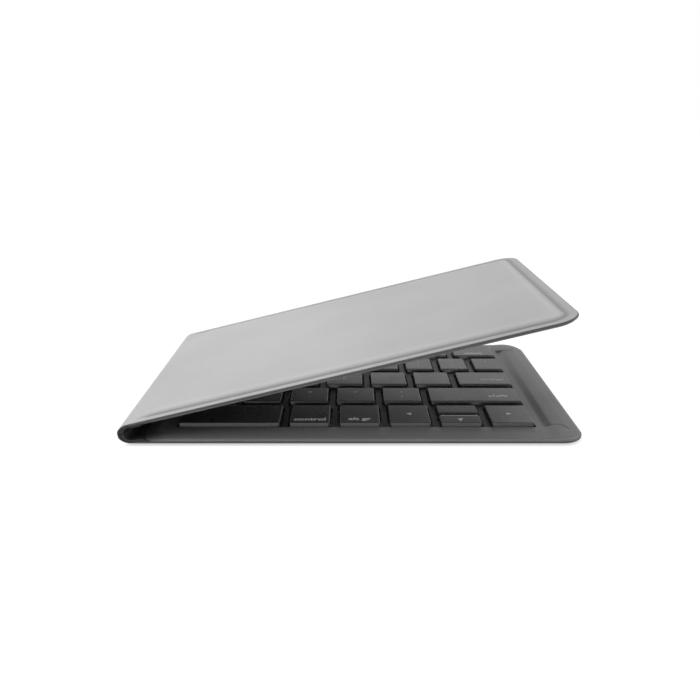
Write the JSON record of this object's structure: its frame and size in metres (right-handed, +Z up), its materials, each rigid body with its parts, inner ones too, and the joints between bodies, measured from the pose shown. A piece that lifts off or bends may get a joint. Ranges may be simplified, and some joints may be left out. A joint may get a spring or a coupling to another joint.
{
  "type": "folding keyboard",
  "caption": "Book-style folding wireless keyboard in padded leather, half open, with low island keys in both halves and a leather spine.",
  "frame": {"origin": "middle of the padded underside of the base half, on the surface that it rests on", "axes": "+Z up through the keys, +X from the spine to the outer edge, +Y from the front edge to the rear edge"},
  "size_m": [0.1514, 0.1006, 0.0433],
  "materials": {
    "light_leather": "fine-grained coated leather, satin",
    "dark_leather": "fine-grained coated leather, satin",
    "keycap": "matt moulded",
    "frame_plastic": "matt moulded",
    "steel_plate": "stamped sheet",
    "switch_silicone": "translucent matt",
    "link_plastic": "moulded",
    "magnet_plating": "nickel plated",
    "battery_foil": "satin foil",
    "board_laminate": "solder mask",
    "socket_steel": "stamped shell",
    "ribbon_film": "film"
  },
  "bodies": {
    "base": {"base_cover": "light_leather", "base_liner": "dark_leather", "base_plate": "steel_plate", "base_switch_film": "switch_silicone", "base_scissor_links": "link_plastic", "base_key_frame": "frame_plastic", "base_magnets": "magnet_plating"},
    "spine": {"spine_cover": "light_leather", "spine_lining": "dark_leather", "ribbon_cable": "ribbon_film"},
    "lid": {"lid_cover": "light_leather", "lid_liner": "dark_leather", "lid_plate": "steel_plate", "lid_switch_film": "switch_silicone", "lid_scissor_links": "link_plastic", "lid_key_frame": "frame_plastic", "lid_magnets": "magnet_plating", "battery": "battery_foil", "main_board": "board_laminate", "charge_socket": "socket_steel"},
    "key_space": {"key_space": "keycap"},
    "key_ctrl": {"key_ctrl": "keycap"},
    "key_alt": {"key_alt": "keycap"},
    "key_left": {"key_left": "keycap"},
    "key_up": {"key_up": "keycap"},
    "key_down": {"key_down": "keycap"},
    "key_right": {"key_right": "keycap"},
    "key_n": {"key_n": "keycap"},
    "key_m": {"key_m": "keycap"},
    "key_comma": {"key_comma": "keycap"},
    "key_period": {"key_period": "keycap"},
    "key_slash": {"key_slash": "keycap"},
    "key_shift": {"key_shift": "keycap"},
    "key_h": {"key_h": "keycap"},
    "key_j": {"key_j": "keycap"},
    "key_k": {"key_k": "keycap"},
    "key_l": {"key_l": "keycap"},
    "key_semicolon": {"key_semicolon": "keycap"},
    "key_quote": {"key_quote": "keycap"},
    "key_enter": {"key_enter": "keycap"},
    "key_y": {"key_y": "keycap"},
    "key_u": {"key_u": "keycap"},
    "key_i": {"key_i": "keycap"},
    "key_o": {"key_o": "keycap"},
    "key_p": {"key_p": "keycap"},
    "key_bracket_open": {"key_bracket_open": "keycap"},
    "key_bracket_close": {"key_bracket_close": "keycap"},
    "key_backslash": {"key_backslash": "keycap"},
    "key_7": {"key_7": "keycap"},
    "key_8": {"key_8": "keycap"},
    "key_9": {"key_9": "keycap"},
    "key_0": {"key_0": "keycap"},
    "key_minus": {"key_minus": "keycap"},
    "key_equals": {"key_equals": "keycap"},
    "key_delete": {"key_delete": "keycap"},
    "lid_keys_1": {"lid_keys_1": "keycap"},
    "lid_keys_2": {"lid_keys_2": "keycap"},
    "lid_keys_3": {"lid_keys_3": "keycap"},
    "lid_keys_4": {"lid_keys_4": "keycap"},
    "lid_keys_5": {"lid_keys_5": "keycap"}
  },
  "joints": [
    {"name": "spine_fold", "type": "hinge", "parent": "base", "child": "spine", "pos_m": [-0.07506, 0, 0.001], "axis": [0, -1, 0], "range_deg": [-7, 83]},
    {"name": "lid_fold", "type": "hinge", "parent": "spine", "child": "lid", "pos_m": [-0.07576, 0, 0.00666], "axis": [0, -1, 0], "range_deg": [-7, 83]},
    {"name": "key_space_press", "type": "slide", "parent": "base", "child": "key_space", "axis": [0, 0, -1], "range_m": [0, 0.0012], "stiffness_N_per_m": 300, "springref_m": -0.001, "deforming": ["base_switch_film", "base_scissor_links"]},
    {"name": "key_ctrl_press", "type": "slide", "parent": "base", "child": "key_ctrl", "axis": [0, 0, -1], "range_m": [0, 0.0012], "stiffness_N_per_m": 300, "springref_m": -0.001},
    {"name": "key_alt_press", "type": "slide", "parent": "base", "child": "key_alt", "axis": [0, 0, -1], "range_m": [0, 0.0012], "stiffness_N_per_m": 300, "springref_m": -0.001},
    {"name": "key_left_press", "type": "slide", "parent": "base", "child": "key_left", "axis": [0, 0, -1], "range_m": [0, 0.0012], "stiffness_N_per_m": 300, "springref_m": -0.001},
    {"name": "key_up_press", "type": "slide", "parent": "base", "child": "key_up", "axis": [0, 0, -1], "range_m": [0, 0.0012], "stiffness_N_per_m": 300, "springref_m": -0.001},
    {"name": "key_down_press", "type": "slide", "parent": "base", "child": "key_down", "axis": [0, 0, -1], "range_m": [0, 0.0012], "stiffness_N_per_m": 300, "springref_m": -0.001},
    {"name": "key_right_press", "type": "slide", "parent": "base", "child": "key_right", "axis": [0, 0, -1], "range_m": [0, 0.0012], "stiffness_N_per_m": 300, "springref_m": -0.001},
    {"name": "key_n_press", "type": "slide", "parent": "base", "child": "key_n", "axis": [0, 0, -1], "range_m": [0, 0.0012], "stiffness_N_per_m": 300, "springref_m": -0.001},
    {"name": "key_m_press", "type": "slide", "parent": "base", "child": "key_m", "axis": [0, 0, -1], "range_m": [0, 0.0012], "stiffness_N_per_m": 300, "springref_m": -0.001},
    {"name": "key_comma_press", "type": "slide", "parent": "base", "child": "key_comma", "axis": [0, 0, -1], "range_m": [0, 0.0012], "stiffness_N_per_m": 300, "springref_m": -0.001},
    {"name": "key_period_press", "type": "slide", "parent": "base", "child": "key_period", "axis": [0, 0, -1], "range_m": [0, 0.0012], "stiffness_N_per_m": 300, "springref_m": -0.001},
    {"name": "key_slash_press", "type": "slide", "parent": "base", "child": "key_slash", "axis": [0, 0, -1], "range_m": [0, 0.0012], "stiffness_N_per_m": 300, "springref_m": -0.001},
    {"name": "key_shift_press", "type": "slide", "parent": "base", "child": "key_shift", "axis": [0, 0, -1], "range_m": [0, 0.0012], "stiffness_N_per_m": 300, "springref_m": -0.001},
    {"name": "key_h_press", "type": "slide", "parent": "base", "child": "key_h", "axis": [0, 0, -1], "range_m": [0, 0.0012], "stiffness_N_per_m": 300, "springref_m": -0.001},
    {"name": "key_j_press", "type": "slide", "parent": "base", "child": "key_j", "axis": [0, 0, -1], "range_m": [0, 0.0012], "stiffness_N_per_m": 300, "springref_m": -0.001},
    {"name": "key_k_press", "type": "slide", "parent": "base", "child": "key_k", "axis": [0, 0, -1], "range_m": [0, 0.0012], "stiffness_N_per_m": 300, "springref_m": -0.001},
    {"name": "key_l_press", "type": "slide", "parent": "base", "child": "key_l", "axis": [0, 0, -1], "range_m": [0, 0.0012], "stiffness_N_per_m": 300, "springref_m": -0.001},
    {"name": "key_semicolon_press", "type": "slide", "parent": "base", "child": "key_semicolon", "axis": [0, 0, -1], "range_m": [0, 0.0012], "stiffness_N_per_m": 300, "springref_m": -0.001},
    {"name": "key_quote_press", "type": "slide", "parent": "base", "child": "key_quote", "axis": [0, 0, -1], "range_m": [0, 0.0012], "stiffness_N_per_m": 300, "springref_m": -0.001},
    {"name": "key_enter_press", "type": "slide", "parent": "base", "child": "key_enter", "axis": [0, 0, -1], "range_m": [0, 0.0012], "stiffness_N_per_m": 300, "springref_m": -0.001},
    {"name": "key_y_press", "type": "slide", "parent": "base", "child": "key_y", "axis": [0, 0, -1], "range_m": [0, 0.0012], "stiffness_N_per_m": 300, "springref_m": -0.001},
    {"name": "key_u_press", "type": "slide", "parent": "base", "child": "key_u", "axis": [0, 0, -1], "range_m": [0, 0.0012], "stiffness_N_per_m": 300, "springref_m": -0.001},
    {"name": "key_i_press", "type": "slide", "parent": "base", "child": "key_i", "axis": [0, 0, -1], "range_m": [0, 0.0012], "stiffness_N_per_m": 300, "springref_m": -0.001},
    {"name": "key_o_press", "type": "slide", "parent": "base", "child": "key_o", "axis": [0, 0, -1], "range_m": [0, 0.0012], "stiffness_N_per_m": 300, "springref_m": -0.001},
    {"name": "key_p_press", "type": "slide", "parent": "base", "child": "key_p", "axis": [0, 0, -1], "range_m": [0, 0.0012], "stiffness_N_per_m": 300, "springref_m": -0.001},
    {"name": "key_bracket_open_press", "type": "slide", "parent": "base", "child": "key_bracket_open", "axis": [0, 0, -1], "range_m": [0, 0.0012], "stiffness_N_per_m": 300, "springref_m": -0.001},
    {"name": "key_bracket_close_press", "type": "slide", "parent": "base", "child": "key_bracket_close", "axis": [0, 0, -1], "range_m": [0, 0.0012], "stiffness_N_per_m": 300, "springref_m": -0.001},
    {"name": "key_backslash_press", "type": "slide", "parent": "base", "child": "key_backslash", "axis": [0, 0, -1], "range_m": [0, 0.0012], "stiffness_N_per_m": 300, "springref_m": -0.001},
    {"name": "key_7_press", "type": "slide", "parent": "base", "child": "key_7", "axis": [0, 0, -1], "range_m": [0, 0.0012], "stiffness_N_per_m": 300, "springref_m": -0.001},
    {"name": "key_8_press", "type": "slide", "parent": "base", "child": "key_8", "axis": [0, 0, -1], "range_m": [0, 0.0012], "stiffness_N_per_m": 300, "springref_m": -0.001},
    {"name": "key_9_press", "type": "slide", "parent": "base", "child": "key_9", "axis": [0, 0, -1], "range_m": [0, 0.0012], "stiffness_N_per_m": 300, "springref_m": -0.001},
    {"name": "key_0_press", "type": "slide", "parent": "base", "child": "key_0", "axis": [0, 0, -1], "range_m": [0, 0.0012], "stiffness_N_per_m": 300, "springref_m": -0.001},
    {"name": "key_minus_press", "type": "slide", "parent": "base", "child": "key_minus", "axis": [0, 0, -1], "range_m": [0, 0.0012], "stiffness_N_per_m": 300, "springref_m": -0.001},
    {"name": "key_equals_press", "type": "slide", "parent": "base", "child": "key_equals", "axis": [0, 0, -1], "range_m": [0, 0.0012], "stiffness_N_per_m": 300, "springref_m": -0.001},
    {"name": "key_delete_press", "type": "slide", "parent": "base", "child": "key_delete", "axis": [0, 0, -1], "range_m": [0, 0.0012], "stiffness_N_per_m": 300, "springref_m": -0.001},
    {"name": "lid_keys_1_press", "type": "slide", "parent": "lid", "child": "lid_keys_1", "axis": [-0.2419, 0, 0.9703], "range_m": [0, 0.0012], "stiffness_N_per_m": 1500, "springref_m": -0.001, "deforming": ["lid_switch_film", "lid_scissor_links"]},
    {"name": "lid_keys_2_press", "type": "slide", "parent": "lid", "child": "lid_keys_2", "axis": [-0.2419, 0, 0.9703], "range_m": [0, 0.0012], "stiffness_N_per_m": 1800, "springref_m": -0.001},
    {"name": "lid_keys_3_press", "type": "slide", "parent": "lid", "child": "lid_keys_3", "axis": [-0.2419, 0, 0.9703], "range_m": [0, 0.0012], "stiffness_N_per_m": 1800, "springref_m": -0.001},
    {"name": "lid_keys_4_press", "type": "slide", "parent": "lid", "child": "lid_keys_4", "axis": [-0.2419, 0, 0.9703], "range_m": [0, 0.0012], "stiffness_N_per_m": 1800, "springref_m": -0.001},
    {"name": "lid_keys_5_press", "type": "slide", "parent": "lid", "child": "lid_keys_5", "axis": [-0.2419, 0, 0.9703], "range_m": [0, 0.0012], "stiffness_N_per_m": 2100, "springref_m": -0.001}
  ],
  "couplings": [
    {"joint": "lid_fold", "follows": "spine_fold", "ratio": 1}
  ]
}
